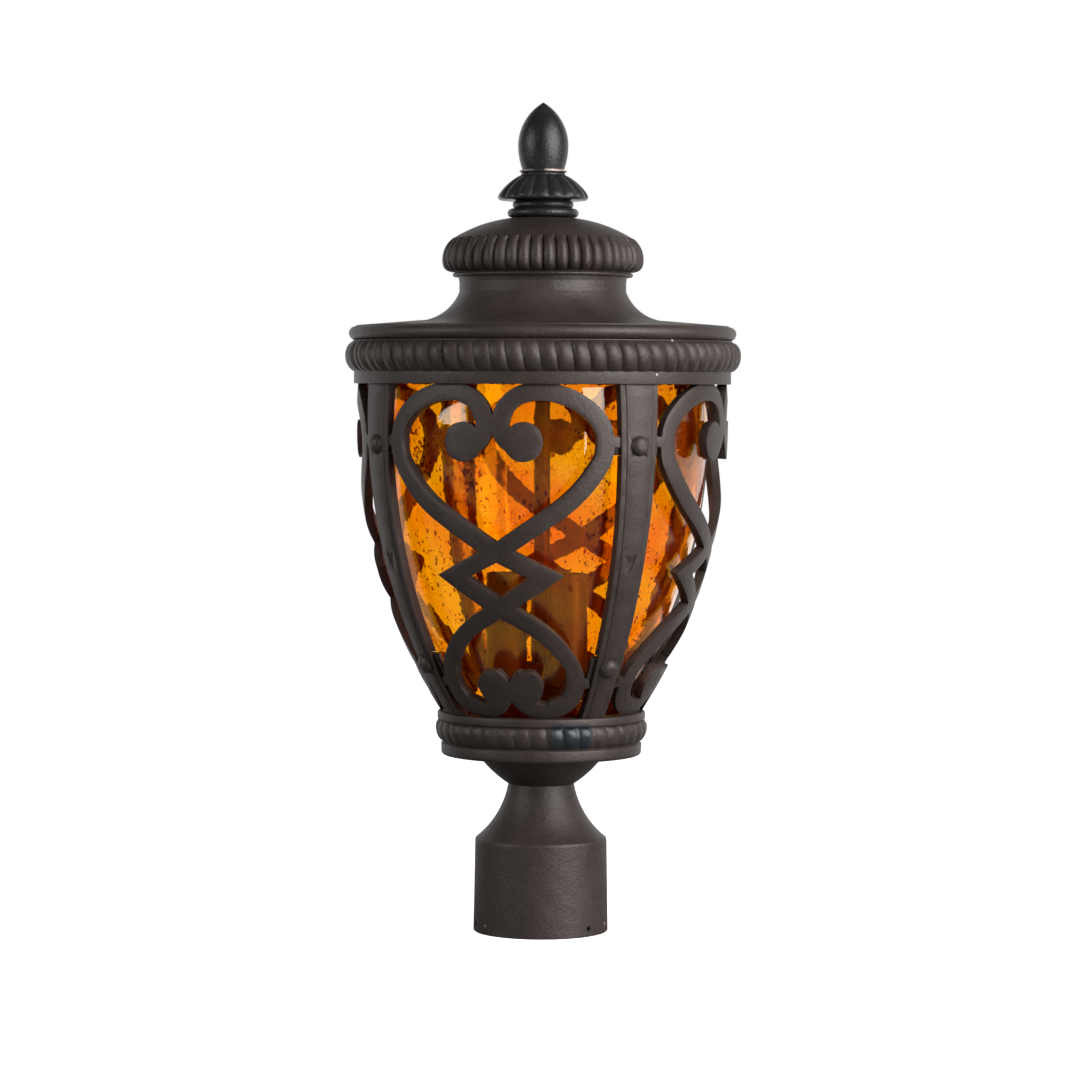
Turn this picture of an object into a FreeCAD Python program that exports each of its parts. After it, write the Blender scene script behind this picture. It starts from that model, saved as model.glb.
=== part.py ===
# Post-top street lantern: a turned fitter that slips over a post, a cast cup, a cage of four straps and four
# scroll panels round a blown glass bowl, a wide ring, and a lift-off roof with its crown and finial.
# Millimetres. The origin is at the middle of the fitter's rim, +Z is up and the front panel faces -Y.

import FreeCAD, Part
import math
import os
from FreeCAD import Vector, Base

os.makedirs("parts", exist_ok=True)

UP = Vector(0, 0, 1)

# Post and fitter
POST_DIAMETER = 76.0
POST_CLEARANCE = 0.5
RIM_WALL = 3.8
SHOULDER_WALL = 2.9
SOCKET_DEPTH = 57.0
BELL_HEIGHT = 35.8
BELL_SAG = 3.7
BELL_WALL = 3.2
NECK_RADIUS = 20.7
NECK_ROOF = 4.3
POST_STOP = 2.5

# Set screws near the fitter's rim and the pin in its seam
SET_SCREW_RADIUS = 2.0
SET_SCREW_HEIGHT = 5.2
SET_SCREW_SHORT = 0.3
SET_SCREW_ANGLES = (-30.0, 90.0, 210.0)
SEAM_PIN_RADIUS = 1.1
SEAM_PIN_LENGTH = 6.0
SEAM_PIN_ANGLE = -54.0

# Base cup
COVE_HEIGHT = 20.1
COVE_RADIUS = 46.0
DISC_RADIUS = 63.0
DISC_THICKNESS = 6.6
BASE_ROLL_HEIGHT = 14.1
BASE_ROLL_SAG = 3.3
BASE_BEAD_RADIUS = DISC_RADIUS + 2.2
BASE_BEAD_HEIGHT = 5.4
CUP_WALL = 12.2
CUP_FLOOR = 5.1
WELL_RADIUS = 21.0
WELL_FLOOR = 5.2

# Cage
CAGE_RADIUS = 116.2
CAGE_FOOT_SETBACK = 2.1
CAGE_HEIGHT = 204.6
WAIST_DROP = 23.6
SCROLL_THICKNESS = 5.5
STRIP_WIDTH = 10.8
SEAT_GAP = 0.3

# Scroll strips, as drawn flat: half widths from the panel's middle line, drops from its top and rises from its
# foot. The drawing is stretched to fit between the top ring and the cup, and between the straps.
DRAWN_HEIGHT = 214.8
DRAWN_RADIUS = 116.2
UPPER_CROSS_DROP = 102.1
LOWER_CROSS_RISE = 77.1
CORNER_HALF_WIDTH = 29.8
CORNER_LIFT = 2.6
UPPER_SLOPE = 33.5
UPPER_STRAIGHT = 44.0
UPPER_TURNS = ((100.0, 24.0), (23.5, 77.0), (49.0, 50.0), (21.0, 80.0), (12.0, 75.0))
LOWER_SLOPE = -32.0
LOWER_STRAIGHT = 18.5
LOWER_TURNS = ((62.0, -34.0), (25.0, -100.0), (15.0, -108.0), (10.0, -60.0))
UPPER_HEAD_RADIUS = 12.0
UPPER_HEAD_HALF_WIDTH = 18.8
UPPER_HEAD_DROP = 34.6
LOWER_HEAD_RADIUS = 10.4
LOWER_HEAD_HALF_WIDTH = 10.9
LOWER_HEAD_RISE = 23.7

# Straps and their rivets
STRAP_TOP_WIDTH = 26.6
STRAP_FOOT_WIDTH = 16.0
STRAP_PROUD = 1.0
STRAP_DEPTH = 6.0
STRAP_WEB = 3.0
STRAP_FLANGE = 2.6
STRAP_MARGIN = 3.7
STRAP_STEP = 0.7
STRAP_FOOT = 3.0
MARK_HEIGHT_SHARE = 0.469
MARK_SIZE = (7.0, 11.0, 0.8)
RIVET_DROP = 36.9
RIVET_RISE = 36.8
RIVET_HEAD_RADIUS = 6.2
RIVET_HEAD_HEIGHT = 4.0
RIVET_SHANK = 2.5
RIVET_HOLE_GAP = 0.1
BURR_RADIUS = 4.6
BURR_THICKNESS = 1.5
NECK_DROP = 34.6
NECK_RISE = 25.6
NECK_HALF_HEIGHT = 3.0
UPPER_LUG = (31.1, 42.6)
LOWER_LUG = (23.0, 42.7)
LUG_GAP = 0.4
LUG_ROOT = 2.5
STRAP_SCREW_RADIUS = 1.8
STRAP_SCREW_HEAD = 2.5
STRAP_SCREW_GRIP = 8.0
TOP_SCREW_INSET = 2.9
FOOT_SCREW_INSET = 5.5

# Lobes of the rolls: how many, how deep the V between them, and the slant of each half in degrees
LOBE_CREST = 0.27
RING_LOBES = (76, 1.5, 0.75)
CROWN_LOBES = (48, 1.3, 0.0)
BASE_LOBES = (40, 1.3, 0.9)
SKIRT_FLUTES = (16, 1.6, 0.0)

# Top ring
BAND_RADIUS = CAGE_RADIUS + 1.7
RING_WALL = 9.9
BAND_HEIGHT = 7.6
RING_ROLL_HEIGHT = 18.4
RING_ROLL_SAG = 6.2
RING_LIP_HEIGHT = 1.0

# Glass bowl and its soft seats
GLASS_DEPTH = 12.5
GLASS_WALL = 3.0
GLASS_HOLE_RADIUS = 24.0
GLASS_RIM_RISE = 6.4
GASKET_THICKNESS = 2.0
GASKET_WIDTH = 10.0
SEAL_HEIGHT = 4.0

# Centre tube, nuts and lamp cluster
TUBE_RADIUS = 5.0
TUBE_BORE = 3.4
TUBE_GAP = 0.1
THREAD_GAP = 0.02
NUT_ACROSS_FLATS = 17.0
NUT_HEIGHT = 4.5
COUPLER_HEIGHT = 18.0
WIRE_HOLE_RADIUS = 2.4
WASHER_RADIUS = 11.0
WASHER_THICKNESS = 1.5
CLUSTER_RISE = 9.0
CLUSTER_RADIUS = 36.0
CLUSTER_THICKNESS = 4.0
HOLDER_COUNT = 3
HOLDER_REACH = 22.5
HOLDER_RADIUS = 11.5
HOLDER_HEIGHT = 34.0
HOLDER_BORE = 7.1
HOLDER_BORE_DEPTH = 25.0
CONTACT_RADIUS = 3.0
CONTACT_HEIGHT = 2.5

# Roof and crown
ROOF_WALL = 3.2
BRIM_RADIUS = BAND_RADIUS - 0.7
BRIM_HEIGHT = 8.6
BRIM_SAG = 3.9
BRIM_STEP = 0.8
SPIGOT_GAP = 0.5
SPIGOT_HEIGHT = 6.0
SPIGOT_WALL = 3.0
SWEEP_RADIUS = 80.0
SWEEP_RISE = 3.6
SWEEP_HEIGHT = 18.2
SWEEP_SAG = 5.3
ROOF_NECK_RADIUS = 52.2
ROOF_NECK_HEIGHT = 9.2
CROWN_LIP_RADIUS = 56.4
CROWN_LIP_HEIGHT = 2.7
CROWN_ROLL_HEIGHT = 21.5
CROWN_ROLL_SAG = 7.8
CROWN_WALL = 3.0
DOME_RADIUS = 55.0
DOME_HEIGHT = 12.4
DOME_SAG = 2.7
DOME_FLAT = 13.0

# Finial
FINIAL_ROLL_RADIUS = 20.5
FINIAL_ROLL_HEIGHT = 5.1
FINIAL_ROLL_SAG = 1.8
FINIAL_BEAD_RADIUS = 18.0
FINIAL_BEAD_HEIGHT = 4.2
FINIAL_BEAD_SAG = 1.1
SKIRT_RADIUS = 27.9
SKIRT_HEIGHT = 18.2
SKIRT_SAG = 2.4
SKIRT_EDGE = 1.8
SKIRT_NECK_RADIUS = 14.0
COLLAR_RADIUS = 14.8
COLLAR_HEIGHT = 1.5
EGG_FOOT_RADIUS = 13.1
EGG_RADIUS = 15.7
EGG_WAIST = 13.5
EGG_TIP_RADIUS = 1.6
EGG_TIP_FLAT = 0.5
EGG_HEIGHT = 41.7
STUD_RADIUS = 4.0
STUD_GAP = 0.05

# Heights that follow from the sizes above
BORE_RADIUS = POST_DIAMETER / 2 + POST_CLEARANCE
CUP_INNER_RADIUS = BASE_BEAD_RADIUS - CUP_WALL
RING_INNER_RADIUS = BAND_RADIUS - RING_WALL
TOP_SCREW_REACH = RING_INNER_RADIUS + TOP_SCREW_INSET
FOOT_SCREW_REACH = CUP_INNER_RADIUS + FOOT_SCREW_INSET
SEAM_Z = SOCKET_DEPTH + BELL_HEIGHT
DISC_Z = SEAM_Z + COVE_HEIGHT
CUP_FLOOR_Z = DISC_Z + CUP_FLOOR
WELL_Z = SEAM_Z + WELL_FLOOR
CAGE_FOOT_Z = DISC_Z + DISC_THICKNESS + BASE_ROLL_HEIGHT + BASE_BEAD_HEIGHT
CAGE_TOP_Z = CAGE_FOOT_Z + CAGE_HEIGHT
WAIST_Z = CAGE_TOP_Z - WAIST_DROP
WAIST_RISE = CAGE_HEIGHT - WAIST_DROP
CAGE_TAPER = CAGE_RADIUS - BASE_BEAD_RADIUS + CAGE_FOOT_SETBACK
CAGE_CURVE = (WAIST_RISE ** 2 + CAGE_TAPER ** 2) / (2 * CAGE_TAPER)
RING_TOP_Z = CAGE_TOP_Z + BAND_HEIGHT + RING_ROLL_HEIGHT + RING_LIP_HEIGHT
GLASS_FLOOR_Z = CUP_FLOOR_Z + GASKET_THICKNESS
GLASS_RIM_Z = CAGE_TOP_Z + GLASS_RIM_RISE
CLUSTER_Z = CAGE_FOOT_Z + CLUSTER_RISE
HOLDER_Z = CLUSTER_Z + CLUSTER_THICKNESS
WIRE_HOLE_Z = CAGE_FOOT_Z - 2.0
TUBE_END_Z = HOLDER_Z + COUPLER_HEIGHT / 2
BRIM_TOP_Z = RING_TOP_Z + BRIM_HEIGHT
SWEEP_Z = BRIM_TOP_Z + SWEEP_RISE
NECK_Z = SWEEP_Z + SWEEP_HEIGHT
CROWN_Z = NECK_Z + ROOF_NECK_HEIGHT
CREASE_Z = CROWN_Z + CROWN_LIP_HEIGHT + CROWN_ROLL_HEIGHT
FINIAL_Z = CREASE_Z + 0.8 + DOME_HEIGHT
SKIRT_Z = FINIAL_Z + FINIAL_ROLL_HEIGHT + FINIAL_BEAD_HEIGHT + 0.6
COLLAR_Z = SKIRT_Z + SKIRT_HEIGHT
TUBE_TOP_Z = SKIRT_Z - 3.0
WASHER_LOW_Z = SEAM_Z - NECK_ROOF - WASHER_THICKNESS
TUBE_LOW_Z = WASHER_LOW_Z - NUT_HEIGHT - 2.0


def turned(start, *moves):
    """Solid of revolution of an outline. A move is (radius, height), and a third number bows it outwards."""
    edges = []
    first = here = Vector(start[0], 0, start[1])
    for move in moves:
        there = Vector(move[0], 0, move[1])
        if len(move) == 3:
            run = (there - here).normalize()
            middle = (here + there) / 2 + Vector(run.z, 0, -run.x) * move[2]
            edges.append(Part.Arc(here, middle, there).toShape())
        else:
            edges.append(Part.makeLine(here, there))
        here = there
    edges.append(Part.makeLine(here, first))
    return Part.Face(Part.Wire(edges)).revolve(Vector(), UP, 360)


def ring(inner, outer, low, high):
    return turned((inner, low), (outer, low), (outer, high), (inner, high))


def about_axis(shape, angle):
    return shape.rotated(Vector(), UP, angle)


def lobed_roll(inner, foot, top, sag, lobes):
    """Ring of slanted lobes, bowed out by sag between two points (radius, height), with a V between them."""
    count, depth, slant = lobes
    ribs = []
    for k in range(count):
        for place, drop in ((0, depth), (LOBE_CREST, 0), (1 - LOBE_CREST, 0)):
            turn = 2 * math.pi * (k + place) / count
            ribs.append(lobe_rib(foot, top, sag - drop, turn, math.radians(slant)))
    faces = []
    rims = []
    for rib, following in zip(ribs, ribs[1:] + ribs[:1]):
        arcs = [Part.Arc(*points).toShape() for points in (rib, following)]
        faces.append(Part.makeRuledSurface(*arcs))
    for end in (0, 2):
        corners = [rib[end] for rib in ribs]
        rims.append(Part.Wire(Part.makePolygon(corners + corners[:1])))
    holes = [Part.Wire(Part.makeCircle(inner, Vector(0, 0, z))) for z in (foot[1], top[1])]
    faces += [Part.Face(rim).cut(Part.Face(hole)).Faces[0] for rim, hole in zip(rims, holes)]
    faces.append(Part.makeRuledSurface(holes[0].Edges[0], holes[1].Edges[0]))
    shell = Part.makeShell(faces)
    shell.sewShape()
    return Part.makeSolid(shell)


def lobe_rib(foot, top, sag, turn, lean):
    """Three points of an arc that leans from its foot to its top, at one turn round the axis."""
    middle = ((foot[0] + top[0]) / 2, (foot[1] + top[1]) / 2)
    points = []
    for (radius, height), side in ((foot, 1), ((middle[0] + sag, middle[1]), 0), (top, -1)):
        angle = turn + side * lean
        points.append(Vector(radius * math.cos(angle), radius * math.sin(angle), height))
    return points


def group(shapes):
    return Part.makeCompound(shapes)


# The cage's curved surface. Depth is measured inwards from the scroll panels' outer face, run along the curve
# from the height where the cage is widest, upwards.
def cage_point(depth, run, angle=0.0):
    lean = run / CAGE_CURVE
    reach = CAGE_CURVE - depth
    radius = CAGE_RADIUS - CAGE_CURVE + reach * math.cos(lean)
    height = WAIST_Z + reach * math.sin(lean)
    return Vector(radius * math.cos(angle), radius * math.sin(angle), height)


def run_at(height, depth=0.0):
    return CAGE_CURVE * math.asin((height - WAIST_Z) / (CAGE_CURVE - depth))


def below_top(drop):
    return run_at(CAGE_TOP_Z) - drop


def above_foot(rise):
    return run_at(CAGE_FOOT_Z) + rise


RIVET_RUNS = (below_top(RIVET_DROP), above_foot(RIVET_RISE))
NECK_RUNS = (below_top(NECK_DROP), above_foot(NECK_RISE))
LUG_RUNS = ((below_top(UPPER_LUG[1]), below_top(UPPER_LUG[0])),
            (above_foot(LOWER_LUG[0]), above_foot(LOWER_LUG[1])))
PANEL_STRETCH = (CAGE_RADIUS / DRAWN_RADIUS, (run_at(CAGE_TOP_Z) - run_at(CAGE_FOOT_Z)) / DRAWN_HEIGHT)


def cage_section(outer_depth, inner_depth, low, high):
    """Flat face between two depths of the cage's curve and two heights."""
    arcs = []
    for depth, ends in ((outer_depth, (low, high)), (inner_depth, (high, low))):
        runs = [run_at(z, depth) for z in ends]
        arcs.append([cage_point(depth, r) for r in (runs[0], sum(runs) / 2, runs[1])])
    outer, inner = arcs
    top = Part.makeLine(outer[2], inner[0])
    bottom = Part.makeLine(inner[2], outer[0])
    return Part.Face(Part.Wire([Part.Arc(*outer).toShape(), top, Part.Arc(*inner).toShape(), bottom]))


def cage_shell(outer_depth, inner_depth, low, high):
    """Wall of revolution between two depths of the cage's curve and two heights."""
    return cage_section(outer_depth, inner_depth, low, high).revolve(Vector(), UP, 360)


def cage_sector(depth):
    """The cage's surface at one depth, over the third of a turn round +X."""
    low, high = above_foot(-STRAP_TOP_WIDTH), below_top(-STRAP_TOP_WIDTH)
    points = [cage_point(depth, run) for run in (low, (low + high) / 2, high)]
    edge = about_axis(Part.Arc(*points).toShape(), -60)
    return edge.revolve(Vector(), UP, 120).toNurbs().Faces[0].Surface


def wrapped(flat, depth, thickness, place=Vector):
    """A flat face, drawn as (half width, run), laid on the cage's surface and thickened inwards."""
    surface = cage_sector(depth)
    patches = []
    for wire in flat.Wires:
        edges = []
        for edge in wire.OrderedEdges:
            places = []
            for point in map(place, edge.discretize(max(3, int(edge.Length / 8) + 2))):
                radius = cage_point(0, point.y).x
                where = surface.parameter(cage_point(depth, point.y, point.x / radius))
                places.append(Base.Vector2d(*where))
            curve = Part.Geom2d.BSplineCurve2d()
            curve.interpolate(places)
            edges.append(curve.toShape(surface))
        patch = Part.Face(surface, Part.Wire(Part.__sortEdges__(edges)))
        patch.validate()
        patches.append(patch)
    patches.sort(key=lambda patch: -patch.Area)
    face = patches[0]
    if len(patches) > 1:
        face = face.cut(patches[1:]).Faces[0]
    return face.makeOffsetShape(-thickness, 0.01, fill=True)


# Flat pieces of the scroll pattern
def bar(start, end):
    across = (end - start).normalize().cross(UP) * (STRIP_WIDTH / 2)
    corners = [start + across, end + across, end - across, start - across]
    return Part.Face(Part.makePolygon(corners + corners[:1]))


def bend(centre, radius, first, last):
    """Piece of a ring round centre between two directions in radians."""
    def at(reach, angle):
        return centre + Vector(math.cos(angle), math.sin(angle), 0) * reach

    half = STRIP_WIDTH / 2
    middle = (first + last) / 2
    outer = Part.Arc(*[at(radius + half, a) for a in (first, middle, last)]).toShape()
    inner = Part.Arc(*[at(radius - half, a) for a in (last, middle, first)]).toShape()
    ends = [Part.makeLine(at(radius + half, last), at(radius - half, last)),
            Part.makeLine(at(radius - half, first), at(radius + half, first))]
    return Part.Face(Part.Wire([outer, ends[0], inner, ends[1]]))


def disc(centre, radius):
    return Part.Face(Part.Wire([Part.makeCircle(radius, centre)]))


def strip(start, slope, straight, turns):
    """A straight bar and the bends that follow it, each tangent to the one before."""
    heading = math.radians(slope)
    here = start + Vector(math.cos(heading), math.sin(heading), 0) * straight
    pieces = [bar(start, here)]
    for radius, turn in turns:
        side = math.copysign(1, turn)
        centre = here + Vector(-math.sin(heading), math.cos(heading), 0) * (side * radius)
        first = heading - side * math.pi / 2
        heading += math.radians(turn)
        last = heading - side * math.pi / 2
        pieces.append(bend(centre, radius, first, last))
        here = centre + Vector(math.cos(last), math.sin(last), 0) * radius
    return pieces


def sharp_corner(upper, corner, lower):
    """Two bars that meet in a point at the corner."""
    legs = [(corner - upper).normalize(), (corner - lower).normalize()]
    forward = (legs[0] + legs[1]).normalize()
    half_angle = legs[0].getAngle(forward)
    tip = corner + forward * (STRIP_WIDTH / 2 / math.sin(half_angle))
    sides = [corner - legs[0].cross(UP) * (STRIP_WIDTH / 2), corner + legs[1].cross(UP) * (STRIP_WIDTH / 2)]
    point = Part.Face(Part.makePolygon([corner, sides[0], tip, sides[1], corner]))
    return [bar(upper, corner), bar(lower, corner), point]


def strap_half_width(height):
    share = (height - CAGE_FOOT_Z) / CAGE_HEIGHT
    return (STRAP_FOOT_WIDTH + (STRAP_TOP_WIDTH - STRAP_FOOT_WIDTH) * share) / 2


def strap_edge(run):
    """Half width, on a panel, of the near edge of the strap beside it."""
    point = cage_point(0, run)
    return point.x * math.pi / 4 - strap_half_width(point.z)


def stretched(point):
    """Place on the cage's surface of a point of the flat drawing, whose zero is in the middle of its top."""
    return Vector(point.x * PANEL_STRETCH[0], below_top(0) + point.y * PANEL_STRETCH[1], 0)


def scroll_outline():
    upper = Vector(0, -UPPER_CROSS_DROP, 0)
    lower = Vector(0, LOWER_CROSS_RISE - DRAWN_HEIGHT, 0)
    corner = Vector(CORNER_HALF_WIDTH, (upper.y + lower.y) / 2 + CORNER_LIFT, 0)
    upper_head = Vector(UPPER_HEAD_HALF_WIDTH, -UPPER_HEAD_DROP, 0)
    lower_head = Vector(LOWER_HEAD_HALF_WIDTH, LOWER_HEAD_RISE - DRAWN_HEIGHT, 0)
    pieces = strip(upper, UPPER_SLOPE, UPPER_STRAIGHT, UPPER_TURNS)
    pieces += strip(lower, LOWER_SLOPE, LOWER_STRAIGHT, LOWER_TURNS)
    pieces += sharp_corner(upper, corner, lower)
    pieces += [disc(upper_head, UPPER_HEAD_RADIUS), disc(lower_head, LOWER_HEAD_RADIUS)]
    pieces += [disc(upper, STRIP_WIDTH / 2), disc(lower, STRIP_WIDTH / 2)]
    for run in NECK_RUNS:
        edge = min(strap_edge(run + end) for end in (-NECK_HALF_HEIGHT, NECK_HALF_HEIGHT))
        reach = (edge - SEAT_GAP) / PANEL_STRETCH[0]
        drop = (run - below_top(0)) / PANEL_STRETCH[1]
        pieces.append(rectangle(reach - STRIP_WIDTH, reach, drop - NECK_HALF_HEIGHT, drop + NECK_HALF_HEIGHT))
    pieces += [piece.mirror(Vector(), Vector(1, 0, 0)) for piece in pieces]
    slabs = [piece.extrude(UP) for piece in pieces]
    whole = slabs[0].fuse(slabs[1:]).removeSplitter()
    return [face for face in whole.Faces if face.CenterOfMass.z > 0.99][0]


def rectangle(left, right, low, high):
    corners = [Vector(left, low, 0), Vector(right, low, 0), Vector(right, high, 0), Vector(left, high, 0)]
    return Part.Face(Part.makePolygon(corners + corners[:1]))


def on_strap(shape, run):
    """Moves a piece made round +Z, with z = 0 on the strap's outer face, to its place on the strap at +X."""
    lean = math.degrees(run / CAGE_CURVE)
    placed = shape.rotated(Vector(), Vector(0, 1, 0), 90 - lean)
    return placed.translated(cage_point(-STRAP_PROUD, run))


def rivet():
    tail = STRAP_PROUD + SCROLL_THICKNESS + BURR_THICKNESS
    return turned((0, -tail), (BURR_RADIUS, -tail), (BURR_RADIUS, BURR_THICKNESS - tail),
                  (RIVET_SHANK, BURR_THICKNESS - tail), (RIVET_SHANK, 0), (RIVET_HEAD_RADIUS, 0),
                  (0.8, RIVET_HEAD_HEIGHT, 1.4), (0, RIVET_HEAD_HEIGHT))


def rivet_holes():
    drill = Part.makeCylinder(RIVET_SHANK + RIVET_HOLE_GAP, 20, Vector(0, 0, -15))
    return [on_strap(drill, run) for run in RIVET_RUNS]


def scroll_panel():
    panel = wrapped(scroll_outline(), 0, SCROLL_THICKNESS, stretched)
    lug_depth = STRAP_WEB - STRAP_PROUD + 0.05
    lugs = []
    for low, high in LUG_RUNS:
        for side in (1, -1):
            lugs.append(wrapped(lug_outline(low, high, side), lug_depth, SCROLL_THICKNESS - lug_depth - 0.2))
    holes = [about_axis(hole, side) for hole in rivet_holes() for side in (45, -45)]
    between = ring(DISC_RADIUS / 2, BAND_RADIUS, CAGE_FOOT_Z, CAGE_TOP_Z)
    return panel.fuse(lugs).common(between).cut(holes)


def lug_outline(low, high, side):
    """Lug that reaches behind the strap, almost to its middle."""
    corners = []
    for run, ends in ((low, (0, 1)), (high, (1, 0))):
        reaches = (strap_edge(run) - SEAT_GAP - LUG_ROOT, cage_point(0, run).x * math.pi / 4 - LUG_GAP)
        corners += [Vector(side * reaches[end], run, 0) for end in ends]
    return Part.Face(Part.makePolygon(corners + corners[:1]))


# Straps, made at +X and turned to their places
def strap_wedge(inset, low, high):
    """Tapered block that keeps the strap's width, less an inset at each side, between two heights."""
    corners = []
    for height, side in ((low, 1), (low, -1), (high, -1), (high, 1)):
        corners.append(Vector(STRAP_TOP_WIDTH, side * (strap_half_width(height) - inset), height))
    return Part.Face(Part.makePolygon(corners + corners[:1])).extrude(Vector(CAGE_RADIUS, 0, 0))


def strap_layer(outer_depth, inner_depth, inset, low=CAGE_FOOT_Z, high=CAGE_TOP_Z):
    """Bar bent to the cage's curve between two depths and two heights, with the strap's taper."""
    face = cage_section(outer_depth, inner_depth, low, high)
    bent = face.translated(Vector(0, -STRAP_TOP_WIDTH, 0)).extrude(Vector(0, 2 * STRAP_TOP_WIDTH, 0))
    return bent.common(strap_wedge(inset, low, high))


def strap():
    back = STRAP_DEPTH - STRAP_PROUD
    web_back = STRAP_WEB - STRAP_PROUD
    body = strap_layer(STRAP_STEP - STRAP_PROUD, back, 0)
    body = body.fuse(strap_layer(-STRAP_PROUD, web_back, STRAP_MARGIN))
    body = body.cut(strap_layer(web_back, back + 1, STRAP_FLANGE))
    body = body.fuse(strap_feet())
    for low, high in LUG_RUNS:
        ends = [cage_point(depth, run).z for run in (low, high) for depth in (web_back, back + 1)]
        body = body.cut(strap_layer(web_back, back + 1, -1, min(ends) - SEAT_GAP, max(ends) + SEAT_GAP))
    cuts = rivet_holes() + strap_screw_holes() + [chisel_mark()]
    return body.cut(cuts)


def strap_feet():
    top_depth = strap_half_width(CAGE_TOP_Z) - STRAP_FLANGE / 2
    foot_depth = strap_half_width(CAGE_FOOT_Z) - STRAP_FLANGE / 2
    top_end = cage_point(STRAP_WEB - STRAP_PROUD, run_at(CAGE_TOP_Z)).x + 0.5
    foot_end = cage_point(STRAP_WEB - STRAP_PROUD, run_at(CAGE_FOOT_Z)).x + 0.5
    top_start = TOP_SCREW_REACH - STRAP_SCREW_HEAD
    foot_start = FOOT_SCREW_REACH - STRAP_SCREW_HEAD
    return [Part.makeBox(top_end - top_start, 2 * top_depth, STRAP_FOOT,
                         Vector(top_start, -top_depth, CAGE_TOP_Z - STRAP_FOOT)),
            Part.makeBox(foot_end - foot_start, 2 * foot_depth, STRAP_FOOT,
                         Vector(foot_start, -foot_depth, CAGE_FOOT_Z))]


def chisel_mark():
    """A small arrow-shaped recess that points down."""
    width, height, deep = MARK_SIZE
    middle = CAGE_FOOT_Z + MARK_HEIGHT_SHARE * CAGE_HEIGHT
    near = STRAP_TOP_WIDTH
    corners = [Vector(near, 0, middle - height / 2), Vector(near, width / 2, middle + height / 2),
               Vector(near, 0, middle + height / 4), Vector(near, -width / 2, middle + height / 2)]
    arrow = Part.Face(Part.makePolygon(corners + corners[:1])).extrude(Vector(CAGE_RADIUS, 0, 0))
    return arrow.common(cage_shell(-STRAP_PROUD - 1, deep - STRAP_PROUD, middle - height, middle + height))


def strap_screw(reach, seat, way):
    """Screw with its head on the strap's foot at height seat. It points up or down, as way says."""
    head = Part.makeCylinder(STRAP_SCREW_HEAD, STRAP_SCREW_GRIP / 4, Vector(reach, 0, seat), UP * -way)
    slot = Part.makeBox(2 * STRAP_SCREW_HEAD, 1, 2, Vector(reach - STRAP_SCREW_HEAD, -0.5, seat - 2 * way - 1))
    long = STRAP_FOOT + STRAP_SCREW_GRIP
    shank = Part.makeCylinder(STRAP_SCREW_RADIUS, long, Vector(reach, 0, seat), UP * way)
    return head.cut(slot).fuse(shank)


def strap_screws():
    top = strap_screw(TOP_SCREW_REACH, CAGE_TOP_Z - STRAP_FOOT, 1)
    foot = strap_screw(FOOT_SCREW_REACH, CAGE_FOOT_Z + STRAP_FOOT, -1)
    return [top, foot]


def strap_screw_holes(gap=0.05):
    long = STRAP_FOOT + STRAP_SCREW_GRIP + 0.5
    radius = STRAP_SCREW_RADIUS + gap
    return [Part.makeCylinder(radius, long, Vector(TOP_SCREW_REACH, 0, CAGE_TOP_Z - STRAP_FOOT)),
            Part.makeCylinder(radius, long, Vector(FOOT_SCREW_REACH, 0, CAGE_FOOT_Z + STRAP_FOOT), -UP)]


STRAP_ANGLES = {"front_right": -45, "back_right": 45, "back_left": 135, "front_left": 225}
PANEL_ANGLES = {"front": -90, "right": 0, "back": 90, "left": 180}


def all_round(shapes):
    """Copies of the shapes at each strap."""
    return [about_axis(shape, angle) for angle in STRAP_ANGLES.values() for shape in shapes]


# Base
def post_fitter():
    rim = BORE_RADIUS + RIM_WALL
    shoulder = BORE_RADIUS + SHOULDER_WALL
    neck_inside = NECK_RADIUS - BELL_WALL
    body = turned((BORE_RADIUS, 0), (rim - 0.6, 0), (rim, 0.6), (shoulder, SOCKET_DEPTH),
                  (shoulder - 0.3, SOCKET_DEPTH + 1.6), (NECK_RADIUS, SEAM_Z, -BELL_SAG),
                  (TUBE_RADIUS + TUBE_GAP, SEAM_Z), (TUBE_RADIUS + TUBE_GAP, SEAM_Z - NECK_ROOF),
                  (neck_inside, SEAM_Z - NECK_ROOF), (BORE_RADIUS - POST_STOP, SOCKET_DEPTH, BELL_SAG),
                  (BORE_RADIUS, SOCKET_DEPTH))
    threads = [about_axis(set_screw_rod(RIM_WALL + 2), angle) for angle in SET_SCREW_ANGLES]
    return body.cut(threads + [seam_pin(0.05)])


def set_screw_rod(length):
    start = BORE_RADIUS + SET_SCREW_SHORT
    return Part.makeCylinder(SET_SCREW_RADIUS, length, Vector(start, 0, SET_SCREW_HEIGHT), Vector(1, 0, 0))


def set_screws():
    """Screws with hexagon sockets, a little short of the wall's outside."""
    screw = set_screw_rod(RIM_WALL - 2 * SET_SCREW_SHORT)
    key = hexagon(SET_SCREW_RADIUS * 1.1, 1.6).rotated(Vector(), Vector(0, 1, 0), 90)
    key.translate(Vector(BORE_RADIUS + RIM_WALL - SET_SCREW_SHORT - 1.6, 0, SET_SCREW_HEIGHT))
    return group([about_axis(screw.cut(key), angle) for angle in SET_SCREW_ANGLES])


def seam_pin(gap=0.0):
    length = SEAM_PIN_LENGTH + gap
    start = Vector(NECK_RADIUS - length, 0, SEAM_Z)
    pin = Part.makeCylinder(SEAM_PIN_RADIUS + gap, length, start, Vector(1, 0, 0))
    if gap:
        pin = pin.fuse(pin.translated(Vector(length / 2, 0, 0)))
    return about_axis(pin, SEAM_PIN_ANGLE)


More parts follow.
